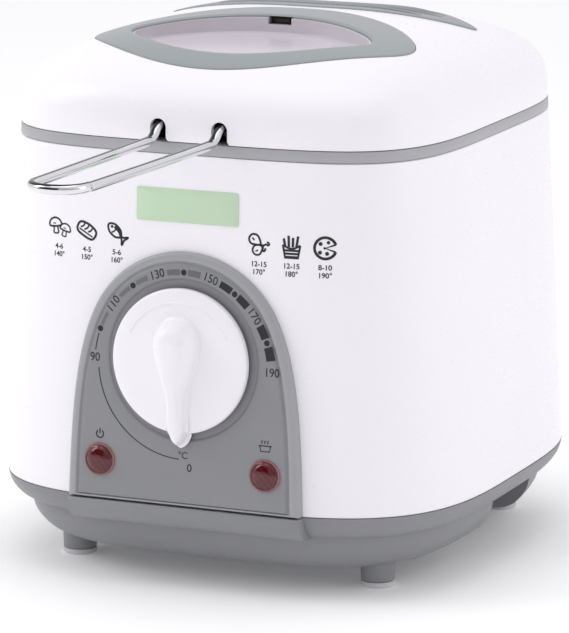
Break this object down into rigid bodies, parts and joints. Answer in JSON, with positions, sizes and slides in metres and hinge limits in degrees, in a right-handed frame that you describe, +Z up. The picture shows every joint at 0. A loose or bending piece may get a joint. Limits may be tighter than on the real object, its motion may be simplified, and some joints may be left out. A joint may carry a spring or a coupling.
{
  "type": "deep fryer",
  "caption": "Compact household deep fryer with a squarish tapered body, hinged domed lid with window, front thermostat dial and lift-out wire basket with folding handle.",
  "frame": {"origin": "midway between the four feet, on the worktop that they stand on", "axes": "+Z up, front (dial and basket handle) towards -Y, +X to the right of someone facing the front; longest along Y because of the basket handle"},
  "size_m": [0.21, 0.345, 0.2253],
  "materials": {
    "white_shell": "glossy injection-moulded polypropylene",
    "grey_plastic": "satin",
    "band_grey": "satin",
    "panel_grey": "fine satin texture",
    "foot_rubber": "matte",
    "screw_steel": "zinc plated",
    "pot_coating": "non-stick coating",
    "cast_aluminium": "as cast",
    "sheet_aluminium": "bright rolled",
    "element_sheath": "heat darkened",
    "ceramic": "unglazed ceramic beads and blades",
    "brass": "bare",
    "copper": "bare copper",
    "phenolic": "moulded phenolic",
    "nylon": "natural nylon",
    "label_green": "plain printed label",
    "red_lens": "moulded clear red",
    "lamp_glass": "neon lamp glass",
    "black_rubber": "matte",
    "wire_insulation": "silicone insulated wire",
    "knob_white": "glossy",
    "window_clear": "clear heat-resistant window",
    "silicone": "silicone gasket",
    "vent_grey": "satin",
    "filter_steel": "woven metal grease filter",
    "filter_black": "charcoal foam",
    "mesh_steel": "woven stainless wire",
    "chrome": "polished"
  },
  "bodies": {
    "housing": {"outer_housing": "white_shell", "base_pan": "grey_plastic", "foot_pads": "foot_rubber", "base_screws": "screw_steel", "rim_ring": "band_grey", "rim_screws": "screw_steel", "oil_pot": "pot_coating", "heat_spreader": "cast_aluminium", "heating_element": "element_sheath", "element_terminals": "ceramic", "thermal_fuse": "brass", "sensor_bulb": "copper", "heat_shield": "sheet_aluminium", "thermostat_body": "phenolic", "thermostat_screws": "screw_steel", "control_panel": "panel_grey", "blank_label": "label_green", "power_lens": "red_lens", "heat_lens": "red_lens", "power_lamp": "lamp_glass", "heat_lamp": "lamp_glass", "lamp_sockets": "black_rubber", "cord_gland": "black_rubber", "terminal_block": "nylon", "internal_wires": "wire_insulation", "earth_screw": "brass", "hinge_bracket": "screw_steel", "bracket_screws": "screw_steel", "hinge_pin": "screw_steel"},
    "dial": {"knob": "knob_white", "thermostat_shaft": "screw_steel", "knob_clip": "screw_steel"},
    "lid": {"lid_shell": "white_shell", "window_frame": "band_grey", "lid_window": "window_clear", "window_gasket": "silicone", "lid_liner": "sheet_aluminium", "lid_screws": "screw_steel", "vent_cover": "vent_grey", "filter_mesh": "filter_steel", "filter_foam": "filter_black", "lid_hinge_arm": "white_shell", "arm_screws": "screw_steel"},
    "basket": {"basket_mesh": "mesh_steel", "basket_rim": "chrome", "basket_frame": "chrome", "handle_bracket": "chrome"},
    "handle": {"basket_handle": "chrome"}
  },
  "joints": [
    {"name": "knob_turn", "type": "hinge", "parent": "housing", "child": "dial", "pos_m": [0, -0.11091, 0.097], "axis": [0, 0.9993, -0.0374], "range_deg": [0, 268]},
    {"name": "lid_open", "type": "hinge", "parent": "housing", "child": "lid", "pos_m": [0, 0.1048, 0.188], "axis": [-1, 0, 0], "range_deg": [0, 100]},
    {"name": "basket_lift", "type": "slide", "parent": "housing", "child": "basket", "axis": [0, 0, 1], "range_m": [0, 0.106]},
    {"name": "handle_fold", "type": "hinge", "parent": "basket", "child": "handle", "pos_m": [0, -0.0832, 0.1915], "axis": [-1, 0, 0], "range_deg": [0, 166]}
  ],
  "couplings": [
    {"joint": "basket_lift", "follows": "lid_open", "m_per_rad": 0.06},
    {"joint": "handle_fold", "follows": "lid_open", "ratio": 1.65}
  ]
}
